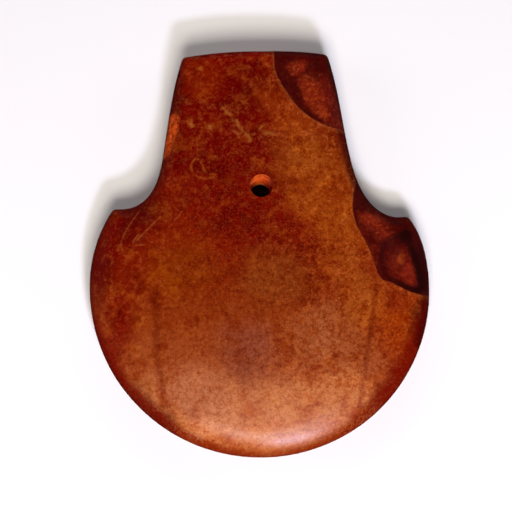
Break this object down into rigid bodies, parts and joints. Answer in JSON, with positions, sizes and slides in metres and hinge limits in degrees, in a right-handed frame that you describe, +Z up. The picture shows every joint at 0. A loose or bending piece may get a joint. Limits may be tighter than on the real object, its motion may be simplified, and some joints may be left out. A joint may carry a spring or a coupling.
{
  "type": "stone spud",
  "caption": "Ground and polished stone spud: a round thin blade with horned shoulders and a drilled, tapering poll, lying on its back.",
  "frame": {"origin": "middle of the bounding box in plan, on the surface that the stone lies on", "axes": "+Y along the stone from the round blade's bit towards the poll's butt, +Z up out of the front face, +X to the right of the front face"},
  "size_m": [0.1258, 0.152, 0.02],
  "materials": {
    "polished_stone": "ground and polished iron-stained stone, mottled red-brown, satin, with darker matt flake scars"
  },
  "bodies": {
    "root": {"stone_spud": "polished_stone"}
  },
  "joints": []
}
